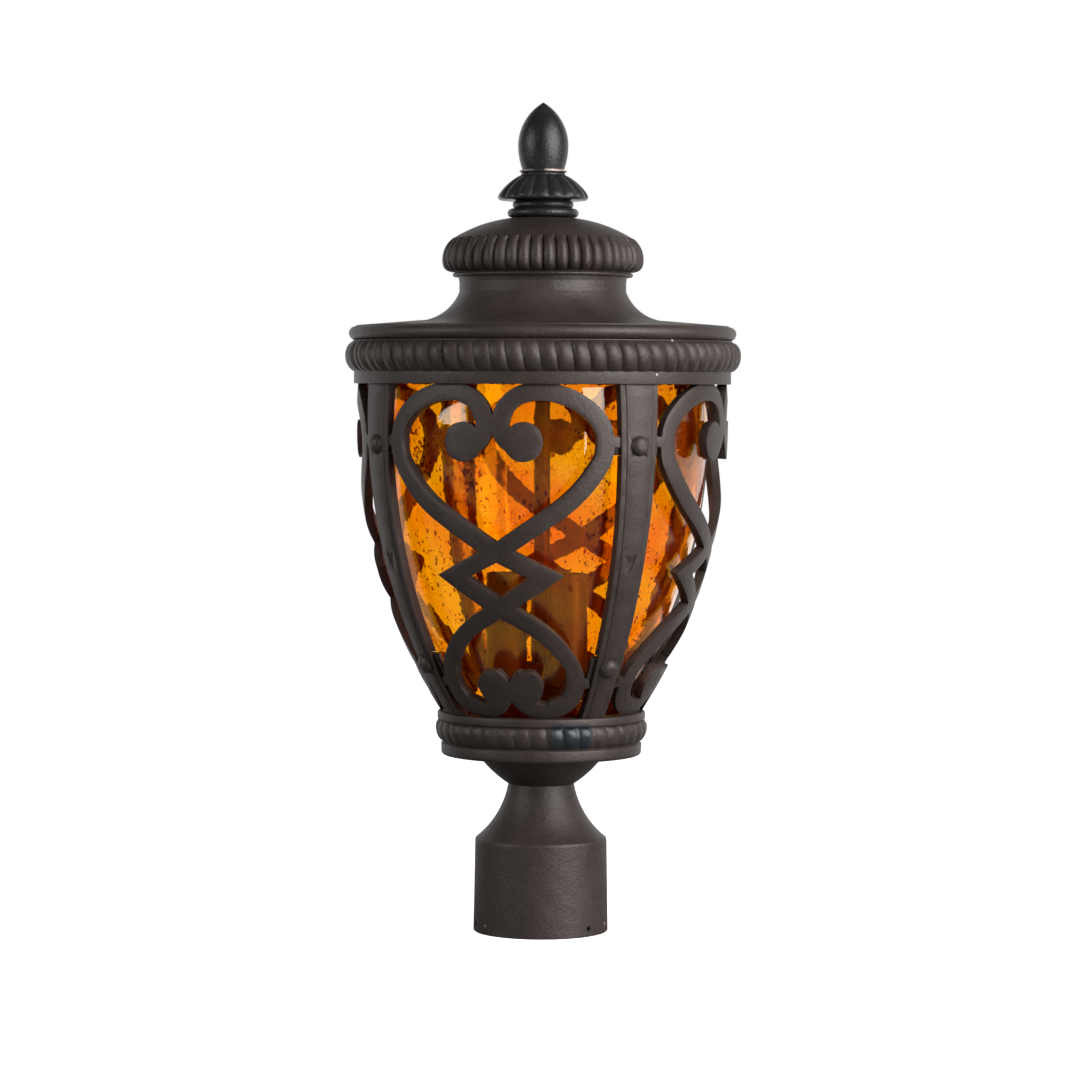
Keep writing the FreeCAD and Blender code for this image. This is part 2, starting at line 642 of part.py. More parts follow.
def base_cup():
    roll_z = DISC_Z + DISC_THICKNESS
    bead_z = roll_z + BASE_ROLL_HEIGHT
    body = turned((TUBE_RADIUS + TUBE_GAP, SEAM_Z), (NECK_RADIUS, SEAM_Z), (COVE_RADIUS, DISC_Z, -2.2),
                  (DISC_RADIUS - 0.5, DISC_Z), (DISC_RADIUS, DISC_Z + 0.5), (DISC_RADIUS, roll_z - 0.6),
                  (DISC_RADIUS - 1.4, roll_z), (BASE_BEAD_RADIUS - 1.6, bead_z), (BASE_BEAD_RADIUS, bead_z),
                  (BASE_BEAD_RADIUS, CAGE_FOOT_Z - 0.8), (BASE_BEAD_RADIUS - 0.8, CAGE_FOOT_Z),
                  (CUP_INNER_RADIUS, CAGE_FOOT_Z), (CUP_INNER_RADIUS, CUP_FLOOR_Z),
                  (WELL_RADIUS, CUP_FLOOR_Z), (NECK_RADIUS - WELL_FLOOR, WELL_Z),
                  (TUBE_RADIUS + TUBE_GAP, WELL_Z))
    foot, top = (DISC_RADIUS - 0.8, roll_z + 0.8), (BASE_BEAD_RADIUS - 1, bead_z - 0.4)
    roll = lobed_roll(CUP_INNER_RADIUS + 4, foot, top, BASE_ROLL_SAG, BASE_LOBES)
    return body.fuse(roll).cut(all_round(strap_screw_holes()) + [seam_pin(0.05)])


# Ring and glass
def cage_top_ring():
    roll_z = CAGE_TOP_Z + BAND_HEIGHT
    body = turned((RING_INNER_RADIUS, CAGE_TOP_Z), (BAND_RADIUS, CAGE_TOP_Z), (BAND_RADIUS, roll_z - 0.4),
                  (BAND_RADIUS - 0.6, roll_z), (BAND_RADIUS + 0.7, roll_z + RING_ROLL_HEIGHT),
                  (BAND_RADIUS + 0.7, RING_TOP_Z), (RING_INNER_RADIUS, RING_TOP_Z))
    foot, top = (BAND_RADIUS, roll_z), (BAND_RADIUS + 1.1, roll_z + RING_ROLL_HEIGHT)
    roll = lobed_roll(RING_INNER_RADIUS + 3, foot, top, RING_ROLL_SAG, RING_LOBES)
    return body.fuse(roll).cut(all_round(strap_screw_holes()))


def glass_bowl():
    turn = 10.0
    low = GLASS_FLOOR_Z + turn
    wall = cage_shell(GLASS_DEPTH, GLASS_DEPTH + GLASS_WALL, low, GLASS_RIM_Z)
    outer = cage_point(GLASS_DEPTH, run_at(low, GLASS_DEPTH)).x
    inner = cage_point(GLASS_DEPTH + GLASS_WALL, run_at(low, GLASS_DEPTH + GLASS_WALL)).x
    foot = outer - turn * 1.25
    floor = turned((GLASS_HOLE_RADIUS, GLASS_FLOOR_Z), (foot, GLASS_FLOOR_Z), (outer, low, 2.2), (inner, low),
                   (foot - 0.5, GLASS_FLOOR_Z + GLASS_WALL, -1.9), (GLASS_HOLE_RADIUS, GLASS_FLOOR_Z + GLASS_WALL))
    return wall.fuse(floor).removeSplitter()


def glass_gasket():
    return ring(GLASS_HOLE_RADIUS, GLASS_HOLE_RADIUS + GASKET_WIDTH, CUP_FLOOR_Z, GLASS_FLOOR_Z)


def glass_rim_seal():
    glass = CAGE_RADIUS - GLASS_DEPTH
    return ring(glass + 0.1, RING_INNER_RADIUS - 0.1, CAGE_TOP_Z, CAGE_TOP_Z + SEAL_HEIGHT)


# Centre tube and lamps
def hexagon(across_flats, height):
    radius = across_flats / math.sqrt(3)
    corners = [Vector(radius * math.cos(math.pi * k / 3), radius * math.sin(math.pi * k / 3), 0) for k in range(7)]
    return Part.Face(Part.makePolygon(corners)).extrude(UP * height)


def nut(low, height):
    blank = hexagon(NUT_ACROSS_FLATS, height)
    blank.translate(UP * low)
    return blank.cut(Part.makeCylinder(TUBE_RADIUS, 3 * height, UP * (low - height)))


def wire_tube():
    """Tube that holds the base together. The lamp wires leave it by the hole in its side."""
    wire_hole = Part.makeCylinder(WIRE_HOLE_RADIUS, 2 * TUBE_RADIUS, Vector(0, 0, WIRE_HOLE_Z), Vector(1, 0, 0))
    return ring(TUBE_BORE, TUBE_RADIUS, TUBE_LOW_Z, TUBE_END_Z).cut(wire_hole)


def draw_rod():
    """Rod from the coupler up to the finial, which screws onto it and holds the roof down."""
    return Part.makeCylinder(TUBE_RADIUS, TUBE_TOP_Z - TUBE_END_Z, Vector(0, 0, TUBE_END_Z))


def tube_nuts():
    lows = (WASHER_LOW_Z - NUT_HEIGHT, WELL_Z + WASHER_THICKNESS, CLUSTER_Z - NUT_HEIGHT)
    return group([nut(low, NUT_HEIGHT) for low in lows])


def tube_coupler():
    return nut(HOLDER_Z, COUPLER_HEIGHT)


def tube_washers():
    inner = TUBE_RADIUS + TUBE_GAP
    return group([ring(inner, WASHER_RADIUS, low, low + WASHER_THICKNESS) for low in (WASHER_LOW_Z, WELL_Z)])


def holder_angle(number):
    return 90 + 360 * number / HOLDER_COUNT


def lamp_cluster_plate():
    return ring(TUBE_RADIUS + TUBE_GAP, CLUSTER_RADIUS, CLUSTER_Z, HOLDER_Z)


def lamp_holder():
    top = HOLDER_Z + HOLDER_HEIGHT
    floor = top - HOLDER_BORE_DEPTH
    holder = turned((0, HOLDER_Z), (HOLDER_RADIUS + 1.5, HOLDER_Z), (HOLDER_RADIUS + 1.5, HOLDER_Z + 3),
                    (HOLDER_RADIUS, HOLDER_Z + 4), (HOLDER_RADIUS, top - 0.8), (HOLDER_RADIUS - 0.8, top),
                    (HOLDER_BORE, top), (HOLDER_BORE, floor), (CONTACT_RADIUS, floor),
                    (CONTACT_RADIUS, floor - CONTACT_HEIGHT), (0, floor - CONTACT_HEIGHT))
    return holder.translated(Vector(HOLDER_REACH, 0, 0))


def lamp_contact():
    """Brass button let into the floor of a lamp holder."""
    floor = HOLDER_Z + HOLDER_HEIGHT - HOLDER_BORE_DEPTH
    return Part.makeCylinder(CONTACT_RADIUS, CONTACT_HEIGHT, Vector(HOLDER_REACH, 0, floor - CONTACT_HEIGHT))


# Roof and finial
def roof():
    spigot = RING_INNER_RADIUS - SPIGOT_GAP
    step = BRIM_RADIUS - BRIM_STEP
    neck_inside = ROOF_NECK_RADIUS - ROOF_WALL
    return turned((spigot, RING_TOP_Z), (BRIM_RADIUS, RING_TOP_Z), (BRIM_RADIUS, BRIM_TOP_Z, BRIM_SAG),
                  (step, BRIM_TOP_Z), (step, BRIM_TOP_Z + 0.6), (SWEEP_RADIUS, SWEEP_Z),
                  (ROOF_NECK_RADIUS, NECK_Z, -SWEEP_SAG), (ROOF_NECK_RADIUS, CROWN_Z - 3),
                  (ROOF_NECK_RADIUS + 0.6, CROWN_Z), (neck_inside, CROWN_Z), (neck_inside, NECK_Z),
                  (SWEEP_RADIUS - ROOF_WALL / 4, SWEEP_Z - ROOF_WALL, SWEEP_SAG),
                  (spigot - SPIGOT_WALL, BRIM_TOP_Z - 1.4), (spigot - SPIGOT_WALL, RING_TOP_Z - SPIGOT_HEIGHT),
                  (spigot, RING_TOP_Z - SPIGOT_HEIGHT))


def crown():
    seat = ROOF_NECK_RADIUS - ROOF_WALL
    roll_z = CROWN_Z + CROWN_LIP_HEIGHT
    bore = TUBE_RADIUS + TUBE_GAP + 0.2
    body = turned((seat, CROWN_Z), (CROWN_LIP_RADIUS - 0.8, CROWN_Z), (CROWN_LIP_RADIUS, CROWN_Z + 0.8),
                  (CROWN_LIP_RADIUS, CROWN_Z + 2), (CROWN_LIP_RADIUS - 1.4, roll_z), (DOME_RADIUS, CREASE_Z),
                  (DOME_RADIUS, CREASE_Z + 0.8), (DOME_FLAT, FINIAL_Z, DOME_SAG), (bore, FINIAL_Z),
                  (bore, FINIAL_Z - CROWN_WALL), (DOME_FLAT, FINIAL_Z - CROWN_WALL),
                  (DOME_RADIUS - CROWN_WALL, CREASE_Z - CROWN_WALL, -DOME_SAG),
                  (seat, roll_z + CROWN_WALL), (seat, roll_z))
    foot, top = (CROWN_LIP_RADIUS - 0.8, roll_z + 0.4), (DOME_RADIUS + 1.4, CREASE_Z - 0.2)
    return body.fuse(lobed_roll(ROOF_NECK_RADIUS, foot, top, CROWN_ROLL_SAG, CROWN_LOBES))


def finial_base():
    bead_z = FINIAL_Z + FINIAL_ROLL_HEIGHT
    bore = TUBE_RADIUS + THREAD_GAP
    stud = STUD_RADIUS + STUD_GAP
    return turned((bore, FINIAL_Z), (FINIAL_ROLL_RADIUS, FINIAL_Z), (FINIAL_ROLL_RADIUS, bead_z, FINIAL_ROLL_SAG),
                  (FINIAL_BEAD_RADIUS, bead_z + 0.6),
                  (FINIAL_BEAD_RADIUS, bead_z + 0.6 + FINIAL_BEAD_HEIGHT, FINIAL_BEAD_SAG),
                  (stud, SKIRT_Z), (stud, TUBE_TOP_Z + 0.5), (bore, TUBE_TOP_Z + 0.5))


def finial_skirt():
    edge = SKIRT_Z + SKIRT_EDGE
    bore = STUD_RADIUS + STUD_GAP
    core = turned((bore, SKIRT_Z), (FINIAL_BEAD_RADIUS - 1, SKIRT_Z), (FINIAL_BEAD_RADIUS, SKIRT_Z + 1),
                  (SKIRT_RADIUS - 1.2, SKIRT_Z + 0.6), (SKIRT_RADIUS, edge - 0.4), (SKIRT_RADIUS, edge),
                  (SKIRT_RADIUS - 1, edge), (SKIRT_NECK_RADIUS - 1, COLLAR_Z - 2),
                  (SKIRT_NECK_RADIUS - 0.6, COLLAR_Z), (bore, COLLAR_Z))
    foot, top = (SKIRT_RADIUS, edge), (SKIRT_NECK_RADIUS, COLLAR_Z - 2)
    return core.fuse(lobed_roll(2 * STUD_RADIUS, foot, top, SKIRT_SAG, SKIRT_FLUTES))


def finial_spire():
    egg_z = COLLAR_Z + COLLAR_HEIGHT
    return turned((0, TUBE_TOP_Z + 1), (STUD_RADIUS, TUBE_TOP_Z + 1), (STUD_RADIUS, COLLAR_Z),
                  (COLLAR_RADIUS, COLLAR_Z), (COLLAR_RADIUS, egg_z - 0.5), (EGG_FOOT_RADIUS, egg_z),
                  (EGG_RADIUS, egg_z + EGG_WAIST, 0.5), (EGG_TIP_RADIUS, egg_z + EGG_HEIGHT - 0.8, 4.1),
                  (EGG_TIP_FLAT, egg_z + EGG_HEIGHT), (0, egg_z + EGG_HEIGHT))


def parts():
    """Every node's name and shape."""
    yield "post_fitter", post_fitter()
    yield "fitter_set_screws", set_screws()
    yield "seam_pin", seam_pin()
    yield "base_cup", base_cup()
    yield "cage_top_ring", cage_top_ring()
    one_strap = strap()
    for side, angle in STRAP_ANGLES.items():
        yield "strap_" + side, about_axis(one_strap, angle)
    one_panel = scroll_panel()
    for side, angle in PANEL_ANGLES.items():
        yield "scroll_panel_" + side, about_axis(one_panel, angle)
    yield "strap_rivets", group(all_round([on_strap(rivet(), run) for run in RIVET_RUNS]))
    yield "strap_screws", group(all_round(strap_screws()))
    yield "glass_bowl", glass_bowl()
    yield "glass_gasket", glass_gasket()
    yield "glass_rim_seal", glass_rim_seal()
    yield "wire_tube", wire_tube()
    yield "draw_rod", draw_rod()
    yield "tube_coupler", tube_coupler()
    yield "tube_nuts", tube_nuts()
    yield "tube_washers", tube_washers()
    yield "lamp_cluster_plate", lamp_cluster_plate()
    for number in range(HOLDER_COUNT):
        yield "lamp_holder_" + str(number + 1), about_axis(lamp_holder(), holder_angle(number))
    yield "lamp_contacts", group([about_axis(lamp_contact(), holder_angle(n)) for n in range(HOLDER_COUNT)])
    yield "roof", roof()
    yield "crown", crown()
    yield "finial_base", finial_base()
    yield "finial_skirt", finial_skirt()
    yield "finial_spire", finial_spire()


for name, shape in parts():
    shape.exportStep("parts/" + name + ".step")
    sound = shape.isValid() and shape.Volume > 0
    print(name, "solids", len(shape.Solids), "volume", round(shape.Volume), "sound", sound)
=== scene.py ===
import math
import random

import bmesh
import bpy
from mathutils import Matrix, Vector


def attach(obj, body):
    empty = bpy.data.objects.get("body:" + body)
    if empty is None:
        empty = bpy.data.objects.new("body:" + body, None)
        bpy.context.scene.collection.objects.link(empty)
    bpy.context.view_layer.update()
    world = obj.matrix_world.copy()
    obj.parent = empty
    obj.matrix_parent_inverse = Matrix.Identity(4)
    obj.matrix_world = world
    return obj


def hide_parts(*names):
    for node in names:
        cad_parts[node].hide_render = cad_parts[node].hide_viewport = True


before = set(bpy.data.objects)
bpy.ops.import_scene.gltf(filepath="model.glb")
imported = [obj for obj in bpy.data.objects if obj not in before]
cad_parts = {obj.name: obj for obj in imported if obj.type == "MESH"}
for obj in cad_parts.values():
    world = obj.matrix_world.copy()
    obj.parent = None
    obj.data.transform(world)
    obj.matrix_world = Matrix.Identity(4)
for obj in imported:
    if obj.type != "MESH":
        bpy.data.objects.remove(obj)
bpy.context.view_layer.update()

MM_IN_METRE = 1000


def rgb(red, green, blue):
    return (red, green, blue, 1.0)


WHITE = rgb(1, 1, 1)

# Camera, as the photograph was taken
CAMERA_AZIMUTH = math.radians(15.0)
CAMERA_DISTANCE = 2.232
CAMERA_HEIGHT = 0.3436
CAMERA_LENS = 118.7
CAMERA_SENSOR = 36.0
CAMERA_ROLL = math.radians(0.2)
AIM_HEIGHT = 0.2458
AIM_LEFT = 0.0012

# Light. A softbox is (name, angle from the camera's side, distance, height, size, watts)
KEY = ("key", 50, 1.6, 0.84, (1.40, 1.65), 62.0)
FILL = ("fill", -64, 2.0, 0.82, (0.80, 1.05), 17.0)
SOFTBOX_TARGET = 0.45
WORLD_LIGHT = 0.22
DARK_ROOM = 0.06
WHITE_LIGHT = 1.0

# Floor and backdrop. Reflections find the white between these ways along the camera's own, and heights
FLOOR_SIZE = 12.0
FLOOR_PAPER = 0.8
FLOOR_BOUNCE = 0.19
FLOOR_GLOW = 0.86
WORLD_WHITE = (0.25, 0.75)
FLOOR_WHITE = (0.1, 1.2)
BACKDROP_TOP = (0.65, 0.30)


def sideways(angle):
    """Direction in plan at an angle to the right of the camera's own, seen from the axis."""
    turn = CAMERA_AZIMUTH + math.radians(angle)
    return Vector((math.sin(turn), -math.cos(turn), 0))


def aim(thing, target):
    thing.rotation_euler = (target - thing.location).to_track_quat("-Z", "Y").to_euler()


def add_camera():
    data = bpy.data.cameras.new("photo_camera")
    data.lens = CAMERA_LENS
    data.sensor_width = CAMERA_SENSOR
    camera = bpy.data.objects.new("photo_camera", data)
    bpy.context.collection.objects.link(camera)
    camera.location = sideways(0) * CAMERA_DISTANCE + Vector((0, 0, CAMERA_HEIGHT))
    aim(camera, Vector((0, 0, AIM_HEIGHT)) - sideways(90) * AIM_LEFT)
    camera.rotation_euler.rotate_axis("Z", CAMERA_ROLL)
    bpy.context.scene.camera = camera


def add_softbox(name, angle, distance, height, size, watts):
    data = bpy.data.lights.new(name, "AREA")
    data.shape = "RECTANGLE"
    data.size, data.size_y = size
    data.energy = watts
    light = bpy.data.objects.new(name, data)
    bpy.context.collection.objects.link(light)
    light.location = sideways(angle) * distance + Vector((0, 0, height))
    aim(light, Vector((0, 0, SOFTBOX_TARGET)))


class Nodes:
    """A node tree with short calls for adding and joining its nodes."""

    def __init__(self, tree):
        self.tree = tree
        tree.nodes.clear()

    def add(self, kind, inputs=None, **settings):
        node = self.tree.nodes.new(kind)
        for key, value in settings.items():
            setattr(node, key, value)
        for key, value in (inputs or {}).items():
            self.feed(node.inputs[key], value)
        return node

    def feed(self, socket, value):
        if isinstance(value, bpy.types.NodeSocket):
            self.tree.links.new(value, socket)
        else:
            socket.default_value = value

    def math(self, operation, first, second=0.0):
        return self.add("ShaderNodeMath", {0: first, 1: second}, operation=operation).outputs[0]

    def noise(self, where, scale, detail, roughness=0.5):
        inputs = {"Vector": where, "Scale": scale, "Detail": detail, "Roughness": roughness}
        return self.add("ShaderNodeTexNoise", inputs).outputs["Fac"]

    def ramp(self, value, low, high, first=0.0, last=1.0):
        inputs = {"Value": value, "From Min": low, "From Max": high, "To Min": first, "To Max": last}
        return self.add("ShaderNodeMapRange", inputs, clamp=True).outputs[0]

    def mix(self, share, first, second):
        node = self.add("ShaderNodeMix", data_type="RGBA")
        for key, value in ((0, share), (6, first), (7, second)):
            self.feed(node.inputs[key], value)
        return node.outputs[2]

    def mix_value(self, share, first, second):
        node = self.add("ShaderNodeMix", data_type="FLOAT")
        for key, value in ((0, share), (2, first), (3, second)):
            self.feed(node.inputs[key], value)
        return node.outputs[0]

    def bump(self, height, strength, distance, normal=None):
        inputs = {"Height": height, "Strength": strength, "Distance": distance}
        if normal is not None:
            inputs["Normal"] = normal
        return self.add("ShaderNodeBump", inputs).outputs[0]

    def blend(self, share, first, second):
        """Mixes two shaders."""
        return self.add("ShaderNodeMixShader", {0: share, 1: first.outputs[0], 2: second.outputs[0]})

    def place(self):
        return self.add("ShaderNodeTexCoord").outputs["Object"]

    def height(self, where):
        return self.add("ShaderNodeSeparateXYZ", {0: where}).outputs[2]

    def surface(self, shader):
        return self.add("ShaderNodeOutputMaterial", {"Surface": shader.outputs[0]})


def new_material(name):
    material = bpy.data.materials.new(name)
    material.use_nodes = True
    return material, Nodes(material.node_tree)


def white_switch(nodes, path, where, near, far):
    """One for rays that find the white background. Reflections find it on the backdrop's side only."""
    seen = nodes.math("MAXIMUM", path.outputs["Is Camera Ray"], path.outputs["Is Transmission Ray"])
    behind = nodes.add("ShaderNodeVectorMath", {0: where, 1: -sideways(0)}, operation="DOT_PRODUCT")
    behind = nodes.ramp(behind.outputs["Value"], near, far)
    behind = nodes.math("MULTIPLY", behind, nodes.ramp(nodes.height(where), *BACKDROP_TOP))
    return nodes.math("MAXIMUM", seen, nodes.math("MULTIPLY", path.outputs["Is Glossy Ray"], behind))


def light_world():
    world = bpy.data.worlds.new("studio")
    bpy.context.scene.world = world
    world.use_nodes = True
    nodes = Nodes(world.node_tree)
    path = nodes.add("ShaderNodeLightPath")
    strength = nodes.ramp(path.outputs["Is Glossy Ray"], 0.0, 1.0, WORLD_LIGHT, DARK_ROOM)
    dim = nodes.add("ShaderNodeBackground", {"Color": WHITE, "Strength": strength})
    white = nodes.add("ShaderNodeBackground", {"Color": WHITE, "Strength": WHITE_LIGHT})
    way = nodes.add("ShaderNodeTexCoord").outputs["Generated"]
    both = nodes.blend(white_switch(nodes, path, way, *WORLD_WHITE), dim, white)
    nodes.add("ShaderNodeOutputWorld", {"Surface": both.outputs[0]})


def add_floor():
    bpy.ops.mesh.primitive_plane_add(size=FLOOR_SIZE, location=(0, 0, 0))
    floor = bpy.context.object
    floor.name = "studio_floor"
    material, nodes = new_material("studio_floor")
    paper = nodes.add("ShaderNodeBsdfDiffuse", {"Color": rgb(FLOOR_PAPER, FLOOR_PAPER, FLOOR_PAPER)})
    bounce = nodes.add("ShaderNodeBsdfDiffuse", {"Color": rgb(FLOOR_BOUNCE, FLOOR_BOUNCE, FLOOR_BOUNCE)})
    glow = nodes.add("ShaderNodeEmission", {"Color": WHITE, "Strength": FLOOR_GLOW})
    lit = nodes.add("ShaderNodeAddShader", {0: paper.outputs[0], 1: glow.outputs[0]})
    path = nodes.add("ShaderNodeLightPath")
    nodes.surface(nodes.blend(white_switch(nodes, path, nodes.place(), *FLOOR_WHITE), bounce, lit))
    floor.data.materials.append(material)


# Below, a noise is (scale, detail) or (scale, detail, roughness), a ramp is (from low, from high) or has
# the values to reach after them, and a bump is (strength, distance)

# Satin coat on castings
BRONZE_COLOURS = (rgb(0.028, 0.0200, 0.0172), rgb(0.043, 0.0318, 0.0275))
BRONZE_ROUGHNESS = 0.47
IRON_COLOURS = (rgb(0.012, 0.012, 0.0128), rgb(0.020, 0.020, 0.0212))
IRON_ROUGHNESS = 0.33
BRONZE_PITS = 0.35
IRON_PITS = 0.15
COAT_METAL = 0.25
COAT_SPECULAR = 0.42
CLOUDS = (26.0, 5.0, 0.62)
CLOUD_COLOUR_RAMP = (0.32, 0.68)
CLOUD_GLOSS_RAMP = (0.3, 0.7)
ROUGHNESS_SPREAD = (-0.07, 0.08)
GRAIN = (700.0, 4.0, 0.65)
GRAIN_BUMP = (0.55, 0.0005)
SPECKLE_RAMP = (0.54, 0.76, 0.0, 0.55)
SPECKLE_GAIN = 1.8
PIT_SCALE = 420.0
PIT_RAMP = (0.05, 0.22)
PIT_DEPTH = 0.0005
PIT_PLACES = (150.0, 2.0)
PIT_PLACES_RAMP = (0.55, 0.62)
DENTS = (120.0, 3.0)
DENT_BUMP = (0.26, 0.0014)

# Wear, in metres and radians. A chip is (degrees from the camera's side, radius, height, size)
BARE_COLOUR = rgb(0.42, 0.33, 0.28)
BARE_ROUGHNESS = 0.34
WEAR_EDGE = 0.0002
COLLAR_LOW = 0.4762
COLLAR_HIGH = 0.4772
COLLAR_NOISE = (160.0, 3.0)
COLLAR_RAMP = (0.36, 0.52)
CHIPS = (
    (41.0, 0.1188, 0.3700, 0.0011),
    (35.6, 0.1179, 0.3494, 0.0010),
    (-8.0, 0.0572, 0.4130, 0.0007),
    (12.0, 0.0640, 0.1338, 0.0007),
    (24.0, 0.0650, 0.1372, 0.0006),
    (-55.0, 0.0420, 0.0058, 0.0011),
    (72.0, 0.0420, 0.0060, 0.0013),
)
CHIP_NOISE = (900.0, 2.0)
CHIP_RAGGED = 0.0008
PATCH_COLOUR = rgb(0.015, 0.020, 0.024)
PATCH_ROUGHNESS = 0.29
PATCH_NOISE = (90.0, 4.0)
PATCH_RAGGED = 0.12
PATCH_MIDDLE = 0.285
PATCH_SIDE_RAMP = (0.205, 0.165)
PATCH_LOW_RAMP = (0.1185, 0.1205)
PATCH_HIGH_RAMP = (0.1365, 0.1345)


def turn_and_height(nodes, where):
    """Angle round the axis in radians, measured to the right from the camera's side, and the height."""
    parts = nodes.add("ShaderNodeSeparateXYZ", {0: where}).outputs
    along, across = [
        nodes.math("ADD", nodes.math("MULTIPLY", parts[0], way.x), nodes.math("MULTIPLY", parts[1], way.y))
        for way in (sideways(0), sideways(90))
    ]
    return nodes.math("ARCTAN2", across, along), parts[2]


def worn_collar(nodes, where):
    """Bright metal showing along the edge of the spire's collar."""
    height = nodes.height(where)
    low = nodes.ramp(height, COLLAR_LOW - WEAR_EDGE, COLLAR_LOW)
    high = nodes.ramp(height, COLLAR_HIGH + WEAR_EDGE, COLLAR_HIGH)
    ragged = nodes.ramp(nodes.noise(where, *COLLAR_NOISE), *COLLAR_RAMP)
    return nodes.math("MULTIPLY", ragged, nodes.math("MULTIPLY", low, high))


def chips(nodes, where):
    """Small places where the coat has come off."""
    ragged = nodes.math("MULTIPLY", nodes.noise(where, *CHIP_NOISE), CHIP_RAGGED)
    total = 0.0
    for angle, radius, height, size in CHIPS:
        spot = sideways(angle) * radius + Vector((0, 0, height))
        away = nodes.add("ShaderNodeVectorMath", {0: where, 1: spot}, operation="DISTANCE").outputs["Value"]
        near = nodes.ramp(nodes.math("ADD", away, ragged), size + WEAR_EDGE, size)
        total = nodes.math("MAXIMUM", total, near)
    return total


def dark_patch(nodes, where):
    """The dark bluish patch on the lower roll, with ragged edges."""
    turn, height = turn_and_height(nodes, where)
    ragged = nodes.math("SUBTRACT", nodes.noise(where, *PATCH_NOISE), 0.5)
    turn = nodes.math("ADD", turn, nodes.math("MULTIPLY", ragged, PATCH_RAGGED))
    off_centre = nodes.math("ABSOLUTE", nodes.math("SUBTRACT", turn, PATCH_MIDDLE))
    low = nodes.ramp(height, *PATCH_LOW_RAMP)
    high = nodes.ramp(height, *PATCH_HIGH_RAMP)
    return nodes.math("MULTIPLY", nodes.ramp(off_centre, *PATCH_SIDE_RAMP), nodes.math("MULTIPLY", low, high))


def cast_coat(name, colours, roughness, pits, patch=None, bare=None):
    """Satin coat on a cast surface: cloudy colour, fine grain, small pits and light specks."""
    material, nodes = new_material(name)
    where = nodes.place()
    clouds = nodes.noise(where, *CLOUDS)
    grain = nodes.noise(where, *GRAIN)
    colour = nodes.mix(nodes.ramp(clouds, *CLOUD_COLOUR_RAMP), *colours)
    speck = rgb(*[part * SPECKLE_GAIN for part in colours[1][:3]])
    colour = nodes.mix(nodes.ramp(grain, *SPECKLE_RAMP), colour, speck)
    spread = [roughness + more for more in ROUGHNESS_SPREAD]
    rough = nodes.ramp(clouds, *CLOUD_GLOSS_RAMP, *spread)
    if patch:
        mask = patch(nodes, where)
        colour = nodes.mix(mask, colour, PATCH_COLOUR)
        rough = nodes.mix_value(mask, rough, PATCH_ROUGHNESS)
    if bare:
        mask = bare(nodes, where)
        colour = nodes.mix(mask, colour, BARE_COLOUR)
        rough = nodes.mix_value(mask, rough, BARE_ROUGHNESS)
    cells = nodes.add("ShaderNodeTexVoronoi", {"Vector": where, "Scale": PIT_SCALE}, feature="F1")
    pit = nodes.ramp(cells.outputs["Distance"], *PIT_RAMP)
    rare = nodes.ramp(nodes.noise(where, *PIT_PLACES), *PIT_PLACES_RAMP)
    pit = nodes.math("MAXIMUM", pit, nodes.math("SUBTRACT", 1.0, rare))
    shape = nodes.bump(pit, pits, PIT_DEPTH)
    shape = nodes.bump(grain, *GRAIN_BUMP, shape)
    shape = nodes.bump(nodes.noise(where, *DENTS), *DENT_BUMP, shape)
    nodes.surface(nodes.add("ShaderNodeBsdfPrincipled", {
        "Base Color": colour, "Roughness": rough, "Normal": shape, "Metallic": COAT_METAL,
        "Specular IOR Level": COAT_SPECULAR}))
    return material


# Bare metals and dull stuffs inside
STREAKS = (240.0, 3.0)
STREAK_SHADE = 0.72
STREAK_COLOUR_RAMP = (0.35, 0.7)
STREAK_GLOSS_RAMP = (0.3, 0.7)
STREAK_ROUGHNESS = 0.14
STREAK_BUMP = (0.1, 0.0003)
MOTTLE = (300.0, 4.0)
MOTTLE_SHADE = 0.8
MOTTLE_RAMP = (0.35, 0.7)
MOTTLE_BUMP = (0.15, 0.0003)


def shaded(colour, share):
    return rgb(*[part * share for part in colour[:3]])


def metal(name, colour, roughness):
    """Bare or plated metal with fine streaks."""
    material, nodes = new_material(name)
    streaks = nodes.noise(nodes.place(), *STREAKS)
    tone = nodes.mix(nodes.ramp(streaks, *STREAK_COLOUR_RAMP), colour, shaded(colour, STREAK_SHADE))
    rough = nodes.ramp(streaks, *STREAK_GLOSS_RAMP, roughness, roughness + STREAK_ROUGHNESS)
    shape = nodes.bump(streaks, *STREAK_BUMP)
    nodes.surface(nodes.add("ShaderNodeBsdfPrincipled", {
        "Base Color": tone, "Roughness": rough, "Metallic": 1.0, "Normal": shape}))
    return material


def dull(name, colour, roughness):
    """Moulded plastic or rubber, faintly mottled."""
    material, nodes = new_material(name)
    mottle = nodes.noise(nodes.place(), *MOTTLE)
    tone = nodes.mix(nodes.ramp(mottle, *MOTTLE_RAMP), colour, shaded(colour, MOTTLE_SHADE))
    shape = nodes.bump(mottle, *MOTTLE_BUMP)
    nodes.surface(nodes.add("ShaderNodeBsdfPrincipled", {
        "Base Color": tone, "Roughness": roughness, "Normal": shape}))
    return material


